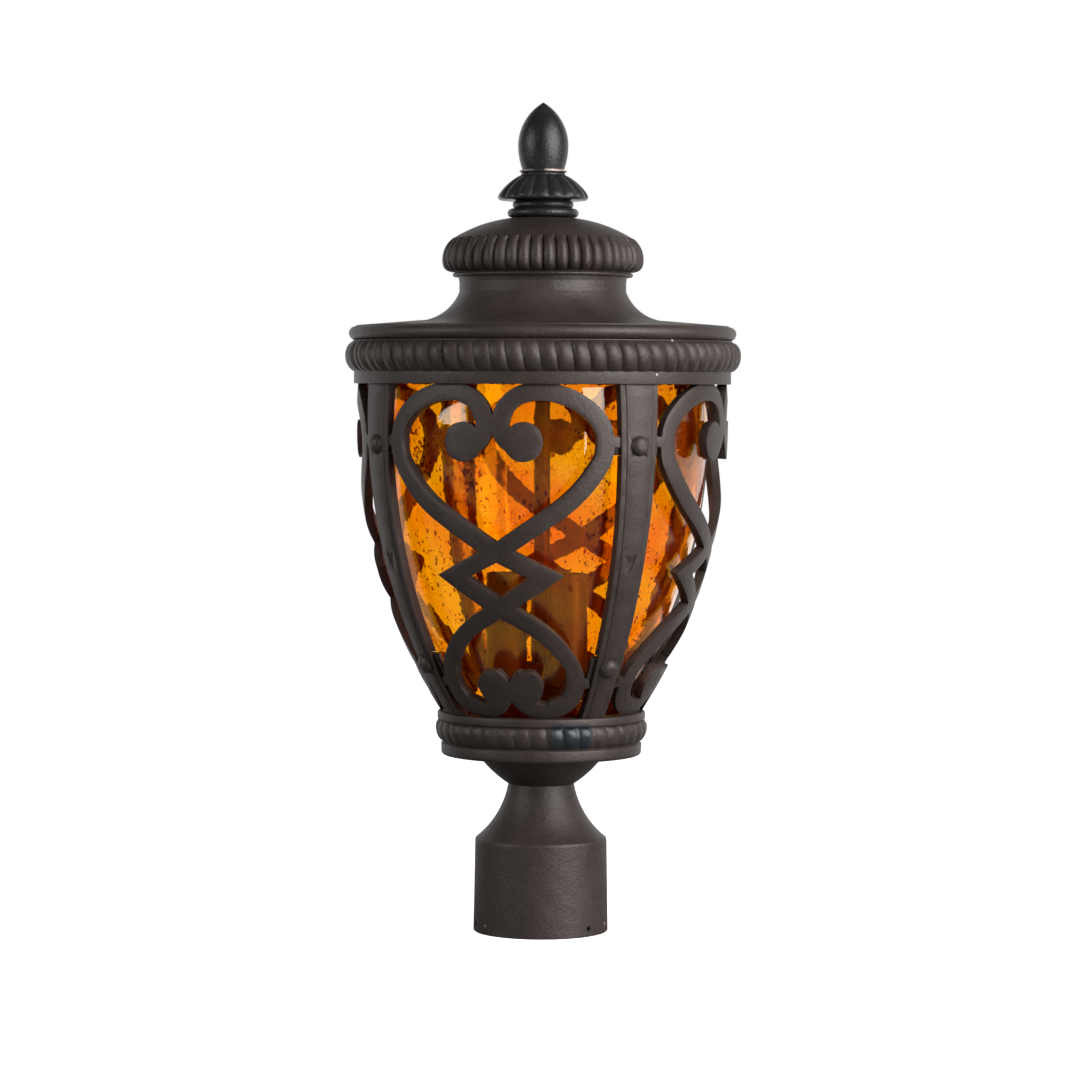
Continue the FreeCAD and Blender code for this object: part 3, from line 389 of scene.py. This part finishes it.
# Glass and its bubbles
GLASS_IOR = 1.48
GLASS_AMBER = rgb(0.960, 0.670, 0.012)
GLASS_SWIRL = rgb(0.945, 0.42, 0.008)
GLASS_FROTH = rgb(0.42, 0.10, 0.012)
GLASS_WAVES = (24.0, 2.0)
WAVE_BUMP = (0.13, 0.003)
GLASS_RIPPLES = (160.0, 2.0)
RIPPLE_BUMP = (0.04, 0.0008)
SWIRLS = (13.0, 4.0, 0.65)
SWIRL_RAMP = (0.46, 0.64)
FROTH = (520.0, 2.0, 0.6)
FROTH_RAMP = (0.56, 0.66)
FROTH_PLACES = (17.0, 3.0, 0.6)
FROTH_PLACES_RAMP = (0.54, 0.66)
HAZE_COLOUR = rgb(0.95, 0.12, 0.006)
HAZE_SHARE = 0.022
DEPTH_COLOUR = rgb(0.975, 0.76, 0.30)
DEPTH_DENSITY = 170.0
SEED_FACING = 0.45
SEED_NOISE = (200.0, 2.0)
SEED_RAGGED = 0.3
# Painted shade: each bubble darkens towards its rim as its surface turns away from the view, standing in for
# refraction
SEED_PAINTED_SHADE_RAMP = (0.20, 0.55)
SEED_MIDDLE = rgb(0.86, 0.52, 0.20)
SEED_PAINTED_SHADE = rgb(0.12, 0.02, 0.004)
SEED_GLOSS = rgb(0.6, 0.4, 0.2)
SEED_GLOSS_ROUGHNESS = 0.1
SEED_GLOSS_SHARE = 0.04


def amber_glass():
    """Blown amber glass: slow waves in the wall, darker swirls, patches of froth and a little haze."""
    material, nodes = new_material("amber_glass")
    where = nodes.place()
    shape = nodes.bump(nodes.noise(where, *GLASS_WAVES), *WAVE_BUMP)
    shape = nodes.bump(nodes.noise(where, *GLASS_RIPPLES), *RIPPLE_BUMP, shape)
    swirl = nodes.ramp(nodes.noise(where, *SWIRLS), *SWIRL_RAMP)
    froth = nodes.ramp(nodes.noise(where, *FROTH), *FROTH_RAMP)
    cluster = nodes.ramp(nodes.noise(where, *FROTH_PLACES), *FROTH_PLACES_RAMP)
    tint = nodes.mix(swirl, GLASS_AMBER, GLASS_SWIRL)
    tint = nodes.mix(nodes.math("MULTIPLY", froth, cluster), tint, GLASS_FROTH)
    glass = nodes.add("ShaderNodeBsdfPrincipled", {
        "Base Color": tint, "Roughness": 0.0, "Normal": shape, "IOR": GLASS_IOR, "Transmission Weight": 1.0})
    haze = nodes.add("ShaderNodeBsdfDiffuse", {"Color": HAZE_COLOUR})
    clear = nodes.add("ShaderNodeBsdfTransparent", {"Color": tint})
    path = nodes.add("ShaderNodeLightPath")
    output = nodes.surface(nodes.blend(path.outputs["Is Shadow Ray"], nodes.blend(HAZE_SHARE, glass, haze), clear))
    depth = nodes.add("ShaderNodeVolumeAbsorption", {"Color": DEPTH_COLOUR, "Density": DEPTH_DENSITY})
    nodes.feed(output.inputs["Volume"], depth.outputs[0])
    return material


def seed_glass():
    """A bubble in the glass: clear in its middle, dark at its rim. The dark rim is painted shade, set by how
    squarely the surface faces the view, standing in for the refraction that darkens a real bubble's edge.
    """
    material, nodes = new_material("glass_seed")
    rim = nodes.add("ShaderNodeLayerWeight", {"Blend": SEED_FACING}).outputs["Facing"]
    rim = nodes.math("ADD", rim, nodes.math("MULTIPLY", nodes.noise(nodes.place(), *SEED_NOISE), SEED_RAGGED))
    # Painted shade at the bubble's rim, from the facing value with a little noise
    tint = nodes.mix(nodes.ramp(rim, *SEED_PAINTED_SHADE_RAMP), SEED_MIDDLE, SEED_PAINTED_SHADE)
    clear = nodes.add("ShaderNodeBsdfTransparent", {"Color": tint})
    gloss = nodes.add("ShaderNodeBsdfGlossy", {"Color": SEED_GLOSS, "Roughness": SEED_GLOSS_ROUGHNESS})
    nodes.surface(nodes.blend(SEED_GLOSS_SHARE, clear, gloss))
    return material


# CAD pieces
WELD_REACH = 0.00002
EDGE_WIDTH = 0.0008
EDGE_SEGMENTS = 2
EDGE_ANGLE = math.radians(40)


def dress(material, *names):
    for name in names:
        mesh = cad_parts[name].data
        mesh.materials.clear()
        mesh.materials.append(material)


def soften(names):
    """Rounds the edges of cast pieces."""
    for name in names:
        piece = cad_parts[name]
        joined = piece.modifiers.new("joined_faces", "WELD")
        joined.merge_threshold = WELD_REACH
        rounding = piece.modifiers.new("cast_edges", "BEVEL")
        rounding.width = EDGE_WIDTH
        rounding.segments = EDGE_SEGMENTS
        rounding.limit_method = "ANGLE"
        rounding.angle_limit = EDGE_ANGLE
        rounding.harden_normals = True


def ring_faces(rows, steps):
    """Faces between the rows of a closed outline that goes round in steps."""
    faces = []
    for row in range(rows):
        here, after = row * steps, (row + 1) % rows * steps
        for step in range(steps):
            beside = (step + 1) % steps
            faces.append((here + step, here + beside, after + beside, after + step))
    return faces


def new_piece(name, vertices, faces, material, sharp_angle=None):
    """A smooth object from vertices in millimetres."""
    mesh = bpy.data.meshes.new(name)
    mesh.from_pydata([[part / MM_IN_METRE for part in vertex] for vertex in vertices], [], faces)
    mesh.materials.append(material)
    mesh.polygons.foreach_set("use_smooth", [True] * len(faces))
    if sharp_angle:
        mesh.set_sharp_from_angle(angle=math.radians(sharp_angle))
    piece = bpy.data.objects.new(name, mesh)
    bpy.context.collection.objects.link(piece)
    return piece


# Turned castings with lobes, in millimetres and degrees
LOBE_STEPS = 10
ROLL_STEPS = 18
CORNER = 0.55
CORNER_SHARE = 0.4
CORNER_ANGLE = 24
ARC_STEP = 1.5
ARC_COUNT = 4
TINY = 1e-6
CREST_POWERS = (2.3, 0.62)
GROOVE_POWER = 2.0
GROOVE_EDGE = 0.25
NOTCH_START = 0.72
BULGE_POWER = 0.75
CASTING_SHARP = 48


def arc_points(start, end, bow):
    """Points of an arc after its start, bowed out to the right of its way."""
    start, end = Vector(start), Vector(end)
    if not bow:
        return [end]
    run = (end - start).normalized()
    middle = (start + end) / 2 + Vector((run.y, -run.x)) * bow
    half = (end - start).length / 2
    radius = (half * half + bow * bow) / (2 * abs(bow))
    centre = middle - Vector((run.y, -run.x)) * math.copysign(radius, bow)
    spread = 2 * math.asin(min(1, half / radius))
    if abs(bow) > half:
        spread = 2 * math.pi - spread
    count = max(ARC_COUNT, int(spread * radius / ARC_STEP))
    first = start - centre
    points = []
    for k in range(1, count + 1):
        turn = math.copysign(spread * k / count, bow)
        cos, sin = math.cos(turn), math.sin(turn)
        points.append(centre + Vector((first.x * cos - first.y * sin, first.x * sin + first.y * cos)))
    return points


def rounded(points):
    """Takes the sharp corners off a closed outline of (radius, groove radius, height, lean)."""
    result = []
    for k, here in enumerate(points):
        others = (points[k - 1], points[(k + 1) % len(points)])
        ways = [Vector((other[0] - here[0], other[2] - here[2])) for other in others]
        if min(way.length for way in ways) < TINY:
            continue
        if ways[0].angle(-ways[1]) < math.radians(CORNER_ANGLE):
            result.append(here)
            continue
        ends = []
        for way, other in zip(ways, others):
            share = min(CORNER / way.length, CORNER_SHARE)
            ends.append([a + (b - a) * share for a, b in zip(here, other)])
        middle = [(a + 2 * b + c) / 4 for a, b, c in zip(ends[0], here, ends[1])]
        result += [ends[0], middle, ends[1]]
    return result


def roll(foot, top, sag, depth, lean=0.0, droop=1.0, notch=0.0):
    """A lobed roll from its foot to its top. Lobes lean over, droop low and are notched at their tops."""
    points = [(foot[0], foot[0], foot[1], lean)]
    for k in range(1, ROLL_STEPS):
        share = 0.5 - 0.5 * math.cos(math.pi * (k / ROLL_STEPS))
        chord = foot[0] + (top[0] - foot[0]) * share
        height = foot[1] + (top[1] - foot[1]) * share
        off = abs(2 * share ** droop - 1)
        crest = chord + sag * (1 - off ** CREST_POWERS[0]) ** CREST_POWERS[1]
        groove = chord + (sag - depth) * (1 - off ** GROOVE_POWER) - GROOVE_EDGE * depth * off
        if share > NOTCH_START:
            groove -= notch * math.sin(math.pi * (share - NOTCH_START) / (1 - NOTCH_START))
        points.append((crest, groove, height, lean * (1 - 2 * share)))
    return points + [(top[0], top[0], top[1], -lean)]


def turned_outline(start, moves):
    """Points of an outline. A move is (radius, height), (radius, height, bow) or the list of a roll."""
    points = [(start[0], start[0], start[1], 0.0)]
    for move in moves:
        if isinstance(move, list):
            points += move
        else:
            radius, height, bow = (*move, 0.0)[:3]
            here = (points[-1][0], points[-1][2])
            points += [(p.x, p.x, p.y, 0.0) for p in arc_points(here, (radius, height), bow)]
    return points


def turned_casting(name, start, moves, lobes, seed, body, replaced, material, thin=0.80, slip=0.05):
    """Solid of revolution with lobes on its roll. Each lobe differs a little, as in a casting."""
    rng = random.Random(seed)
    outline = rounded(turned_outline(start, moves))
    fullness = [rng.uniform(thin, 1.0) for _ in range(lobes)]
    shift = [rng.uniform(-slip, slip) for _ in range(lobes)]
    vertices = []
    for radius, groove, height, lean in outline:
        for lobe in range(lobes):
            for inner in range(LOBE_STEPS):
                place = inner / LOBE_STEPS
                bulge = math.sin(math.pi * place) ** BULGE_POWER * fullness[lobe]
                reach = groove + (radius - groove) * bulge
                turn = 2 * math.pi * (lobe + place + shift[lobe] * math.sin(math.pi * place)) / lobes
                turn += math.radians(lean)
                vertices.append((reach * math.cos(turn), reach * math.sin(turn), height))
    faces = ring_faces(len(outline), lobes * LOBE_STEPS)
    piece = new_piece(name, vertices, faces, material, CASTING_SHARP)
    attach(piece, body)
    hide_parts(replaced)


def add_castings(chipped, patched, dark):
    turned_casting(
        "gadrooned_top_ring", (108.0, 343.6),
        [(117.9, 343.6), (117.9, 350.8), roll((117.9, 351.2), (119.0, 369.6), sag=5.6, depth=2.0, lean=0.75),
         (118.6, 369.9), (118.6, 370.6), (108.0, 370.6)],
        76, 11, "lantern", "cage_top_ring", chipped, thin=0.60, slip=0.12)
    turned_casting(
        "gadrooned_base_cup", (20.7, 92.8),
        [(40.0, 111.4, 1.3), (60.4, 111.4), (62.8, 113.6, 0.8), (63.0, 118.7), (61.6, 119.5),
         roll((62.2, 120.3), (64.2, 133.2), sag=3.2, depth=1.0, lean=0.9),
         (63.8, 133.6), (65.2, 133.8), (65.2, 138.2), (64.4, 139.0), (53.0, 139.0), (53.0, 118.0),
         (21.0, 118.0), (15.5, 98.0), (5.1, 98.0), (5.1, 92.8)],
        40, 12, "lantern", "base_cup", patched)
    turned_casting(
        "gadrooned_crown", (49.0, 410.2),
        [(55.6, 410.2), (56.4, 411.0), (56.4, 412.2), (55.0, 412.9),
         roll((55.4, 413.3), (55.6, 434.6), sag=7.9, depth=2.9, droop=0.66, notch=1.3),
         (13.0, 447.6, 2.9), (5.3, 447.6), (5.3, 444.6), (13.0, 444.6), (52.0, 431.4, -2.7), (49.0, 415.9)],
        48, 13, "roof_cap", "crown", chipped, thin=0.62, slip=0.09)
    turned_casting(
        "fluted_skirt", (4.05, 457.5),
        [(17.0, 457.5), (18.0, 458.5), (26.7, 458.1), (27.9, 458.9),
         roll((27.9, 459.3), (14.0, 473.7), sag=3.5, depth=1.9), (13.4, 475.7), (4.05, 475.7)],
        16, 14, "finial", "finial_skirt", dark)


# Seeds in the glass, in millimetres. A cluster at the front is (degrees from the front, height, spread)
CAGE_RADIUS = 116.2
CAGE_CURVE = 335.03
WAIST_HEIGHT = 320.0
GLASS_DEPTH = 12.5
GLASS_WALL = 2.7
SEED_CLEARANCE = 0.25
SEED_COUNT = 2400
SEED_RANDOM = 21
CLUSTER_COUNT = 30
CLUSTER_HEIGHTS = (165, 335)
CLUSTER_SPREADS = (10, 30)
CLUSTER_REACH = 95.0
CLUSTERED_SHARE = 0.72
LOOSE_HEIGHTS = (148, 340)
SEED_HEIGHTS = (145.0, 341.0)
SEED_SIZE = 0.27
SEED_SIZE_SPREAD = (0.45, 0.5)
SEED_LARGEST = 1.05
SEED_DEEPEST = 0.8
SEED_STRETCH = (1.0, 2.1)
FRONT_CLUSTERS = ((-49, 309, 9), (-46, 300, 7), (-29, 281, 12), (-27, 292, 9), (22, 250, 10), (-40, 235, 16))


def glass_radius(height):
    """Radius of the outside of the bowl at a height above its bend."""
    reach = CAGE_CURVE - GLASS_DEPTH
    return CAGE_RADIUS - CAGE_CURVE + math.sqrt(reach * reach - (height - WAIST_HEIGHT) ** 2)


def ball_parts():
    """Points and faces of a coarse ball with a radius of one."""
    ball = bmesh.new()
    bmesh.ops.create_icosphere(ball, subdivisions=1, radius=1.0)
    points = [vertex.co.copy() for vertex in ball.verts]
    faces = [[vertex.index for vertex in face.verts] for face in ball.faces]
    ball.free()
    return points, faces


def add_seeds(material):
    """Small bubbles inside the wall of the bowl, most of them in clusters and drawn out upwards."""
    rng = random.Random(SEED_RANDOM)
    clusters = [(rng.uniform(0, 2 * math.pi), rng.uniform(*CLUSTER_HEIGHTS), rng.uniform(*CLUSTER_SPREADS))
                for _ in range(CLUSTER_COUNT)]
    side = CAMERA_AZIMUTH - math.pi / 2
    clusters += [(side + math.radians(angle), height, spread) for angle, height, spread in FRONT_CLUSTERS] * 2
    ball_points, ball_faces = ball_parts()
    vertices, faces = [], []
    for _ in range(SEED_COUNT):
        if rng.random() < CLUSTERED_SHARE:
            turn, height, spread = rng.choice(clusters)
            height += rng.gauss(0, spread)
            turn += rng.gauss(0, spread) / CLUSTER_REACH
        else:
            turn, height = rng.uniform(0, 2 * math.pi), rng.uniform(*LOOSE_HEIGHTS)
        height = min(max(height, SEED_HEIGHTS[0]), SEED_HEIGHTS[1])
        size = min(SEED_SIZE * math.exp(rng.gauss(*SEED_SIZE_SPREAD)), SEED_LARGEST)
        tall = size * rng.uniform(*SEED_STRETCH)
        deep = min(size, SEED_DEEPEST)
        reach = glass_radius(height) - rng.uniform(deep + SEED_CLEARANCE, GLASS_WALL - deep)
        lean = Vector((glass_radius(height + 1) - glass_radius(height - 1), 2)).normalized()
        first = len(vertices)
        for point in ball_points:
            radius = reach + (point.x * deep * lean.y + point.z * tall * lean.x)
            up = point.z * tall * lean.y - point.x * deep * lean.x
            around = turn + point.y * size / radius
            vertices.append((radius * math.cos(around), radius * math.sin(around), height + up))
        faces += [[first + index for index in face] for face in ball_faces]
    piece = new_piece("glass_seeds", vertices, faces, material)
    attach(piece, "lantern")


# Candle sleeves slipped over the lamp holders, in millimetres and degrees
SLEEVE_COUNT = 3
SLEEVE_FIRST = 90
SLEEVE_REACH = 22.5
SLEEVE_RADIUS = 12.5
SLEEVE_WALL = 0.8
SLEEVE_LIP = 0.4
SLEEVE_FOOT = 156.2
SLEEVE_TOP = 226.0
SLEEVE_STEPS = 48
SLEEVE_SHARP = 40


def add_sleeves(material):
    """Three thin tubes that cover the holders and the feet of the lamps."""
    inner = SLEEVE_RADIUS - SLEEVE_WALL
    outline = [(SLEEVE_RADIUS, SLEEVE_FOOT), (SLEEVE_RADIUS, SLEEVE_TOP - SLEEVE_LIP),
               (SLEEVE_RADIUS - SLEEVE_LIP, SLEEVE_TOP), (inner, SLEEVE_TOP), (inner, SLEEVE_FOOT)]
    turns = [2 * math.pi * step / SLEEVE_STEPS for step in range(SLEEVE_STEPS)]
    for number in range(SLEEVE_COUNT):
        seat = math.radians(SLEEVE_FIRST + 360 / SLEEVE_COUNT * number)
        x, y = SLEEVE_REACH * math.cos(seat), SLEEVE_REACH * math.sin(seat)
        vertices = [(x + radius * math.cos(turn), y + radius * math.sin(turn), height)
                    for radius, height in outline for turn in turns]
        piece = new_piece("candle_sleeve_%d" % (number + 1), vertices, ring_faces(len(outline), SLEEVE_STEPS),
                          material, SLEEVE_SHARP)
        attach(piece, "lantern")


def named(*starts):
    """Names of the nodes that start so."""
    return [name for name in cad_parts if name.startswith(starts)]


add_camera()
light_world()
add_softbox(*KEY)
add_softbox(*FILL)
add_floor()

bronze = cast_coat("bronze_coat", BRONZE_COLOURS, BRONZE_ROUGHNESS, BRONZE_PITS)
bronze_chipped = cast_coat("bronze_chipped", BRONZE_COLOURS, BRONZE_ROUGHNESS, BRONZE_PITS, bare=chips)
bronze_patched = cast_coat("bronze_patched", BRONZE_COLOURS, BRONZE_ROUGHNESS, BRONZE_PITS,
                           patch=dark_patch, bare=chips)
iron = cast_coat("dark_coat", IRON_COLOURS, IRON_ROUGHNESS, IRON_PITS)
iron_worn = cast_coat("dark_worn", IRON_COLOURS, IRON_ROUGHNESS, IRON_PITS, bare=worn_collar)
phenolic = dull("brown_phenolic", rgb(0.020, 0.007, 0.004), 0.45)

dress(bronze, "roof", "strap_rivets", *named("strap_front", "strap_back", "scroll_panel"))
dress(bronze_chipped, "post_fitter")
dress(iron, "finial_base")
dress(iron_worn, "finial_spire")
dress(metal("blackened_steel", rgb(0.06, 0.055, 0.05), 0.4), "fitter_set_screws", "seam_pin")
dress(metal("browned_steel", rgb(0.060, 0.026, 0.018), 0.45), "draw_rod", "tube_coupler", "lamp_cluster_plate")
dress(metal("zinc_plate", rgb(0.55, 0.55, 0.57), 0.32), "strap_screws", "tube_washers")
dress(metal("brass", rgb(0.62, 0.42, 0.17), 0.3), "wire_tube", "tube_nuts", "lamp_contacts")
dress(dull("soft_seat", rgb(0.03, 0.03, 0.03), 0.8), "glass_gasket", "glass_rim_seal")
dress(phenolic, *named("lamp_holder"))
dress(amber_glass(), "glass_bowl")
soften(named("strap_front", "strap_back", "scroll_panel"))
add_castings(bronze_chipped, bronze_patched, iron)
add_sleeves(phenolic)
add_seeds(seed_glass())

scene = bpy.context.scene
scene.view_settings.view_transform = "Standard"
